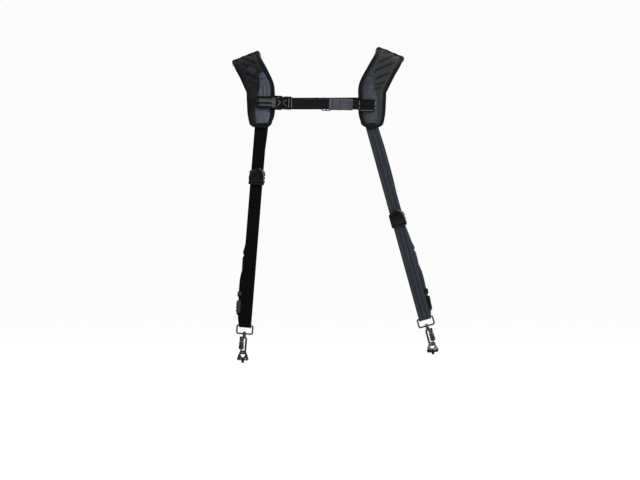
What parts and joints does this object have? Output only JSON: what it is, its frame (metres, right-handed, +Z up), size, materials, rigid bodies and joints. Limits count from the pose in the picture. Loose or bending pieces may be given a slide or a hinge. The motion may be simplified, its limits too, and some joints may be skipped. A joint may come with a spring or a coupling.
{
  "type": "dual camera harness",
  "caption": "Worn harness with two padded shoulder pieces, buckled chest strap, and a long webbing loop on each side with a snap hook and threaded fastener.",
  "frame": {"origin": "midway between the wearer's shoulders, at the height where the pads rest on them", "axes": "+Z up, -Y the way the wearer faces, +X towards the wearer's left"},
  "size_m": [0.4185, 0.2551, 0.6417],
  "materials": {
    "pad_mesh": "moulded mesh, matte",
    "edge_binding": "woven tape, matte",
    "panel_nylon": "smooth nylon, slight sheen",
    "webbing": "ribbed nylon webbing",
    "soft_webbing": "soft elastic webbing",
    "black_plastic": "moulded, satin",
    "black_metal": "black plated, glossy",
    "rubber": "matte"
  },
  "bodies": {
    "root": {"shoulder_pad_right": "pad_mesh", "shoulder_pad_left": "pad_mesh", "pad_binding_right": "edge_binding", "pad_binding_left": "edge_binding", "pad_panel_right": "panel_nylon", "pad_panel_left": "panel_nylon", "pad_badge": "panel_nylon", "main_strap_right": "webbing", "main_strap_left": "webbing", "rear_strap_right": "webbing", "rear_strap_left": "webbing", "sternum_web_right": "webbing", "sternum_web_middle": "webbing", "sternum_web_left": "webbing", "back_strap": "webbing", "sternum_elastic": "soft_webbing", "adjuster_right": "black_plastic", "adjuster_left": "black_plastic", "strap_keeper_right": "black_plastic", "strap_keeper_left": "black_plastic", "front_bumper_right": "black_plastic", "front_bumper_left": "black_plastic", "rear_bumper_right": "black_plastic", "rear_bumper_left": "black_plastic", "sternum_slider_right": "black_plastic", "sternum_slider_left": "black_plastic", "buckle_male": "black_plastic", "buckle_female": "black_plastic", "sternum_triglide": "black_plastic", "swivel_ring_right": "black_metal", "swivel_ring_left": "black_metal"},
    "hook_right": {"hook_right": "black_metal"},
    "gate_right": {"hook_gate_right": "black_metal"},
    "fastener_right": {"fastener_eye_right": "black_metal", "fastener_washer_right": "rubber"},
    "front_lever_right": {"front_bumper_lever_right": "black_plastic"},
    "rear_lever_right": {"rear_bumper_lever_right": "black_plastic"},
    "hook_left": {"hook_left": "black_metal"},
    "gate_left": {"hook_gate_left": "black_metal"},
    "fastener_left": {"fastener_eye_left": "black_metal", "fastener_washer_left": "rubber"},
    "front_lever_left": {"front_bumper_lever_left": "black_plastic"},
    "rear_lever_left": {"rear_bumper_lever_left": "black_plastic"}
  },
  "joints": [
    {"name": "hook_swivel_right", "type": "hinge", "parent": "root", "child": "hook_right", "pos_m": [-0.1473, -0.095, -0.5437], "axis": [0.0786, 0, 0.9969], "continuous": true},
    {"name": "gate_right", "type": "hinge", "parent": "hook_right", "child": "gate_right", "pos_m": [-0.15391, -0.10052, -0.57267], "axis": [0.7856, -0.6157, -0.062], "range_deg": [0, 20], "stiffness_Nm_per_rad": 0.05, "springref_deg": -11.46},
    {"name": "fastener_swing_right", "type": "hinge", "parent": "hook_right", "child": "fastener_right", "pos_m": [-0.15175, -0.095, -0.60012], "axis": [-0.6138, -0.788, 0.0484], "range_deg": [-75, 75]},
    {"name": "front_lever_right", "type": "hinge", "parent": "root", "child": "front_lever_right", "pos_m": [-0.1247, -0.11831, -0.25695], "axis": [0.9955, -0.0518, -0.0799], "range_deg": [0, 90]},
    {"name": "rear_lever_right", "type": "hinge", "parent": "root", "child": "rear_lever_right", "pos_m": [-0.14871, -0.07131, -0.5201], "axis": [-0.9842, 0.1719, -0.042], "range_deg": [0, 90]},
    {"name": "hook_swivel_left", "type": "hinge", "parent": "root", "child": "hook_left", "pos_m": [0.2155, -0.095, -0.5284], "axis": [-0.2659, 0, 0.964], "continuous": true},
    {"name": "gate_left", "type": "hinge", "parent": "hook_left", "child": "gate_left", "pos_m": [0.22747, -0.10052, -0.5556], "axis": [0.7596, 0.6157, 0.2095], "range_deg": [0, 20], "stiffness_Nm_per_rad": 0.05, "springref_deg": -11.46},
    {"name": "fastener_swing_left", "type": "hinge", "parent": "hook_left", "child": "fastener_left", "pos_m": [0.23055, -0.095, -0.58296], "axis": [0.5935, -0.788, 0.1637], "range_deg": [-75, 75]},
    {"name": "front_lever_left", "type": "hinge", "parent": "root", "child": "front_lever_left", "pos_m": [0.16393, -0.1165, -0.3414], "axis": [0.9629, 0.0329, 0.2677], "range_deg": [0, 90]},
    {"name": "rear_lever_left", "type": "hinge", "parent": "root", "child": "rear_lever_left", "pos_m": [0.21487, -0.07418, -0.51248], "axis": [-0.9796, -0.1571, -0.125], "range_deg": [0, 90]}
  ]
}
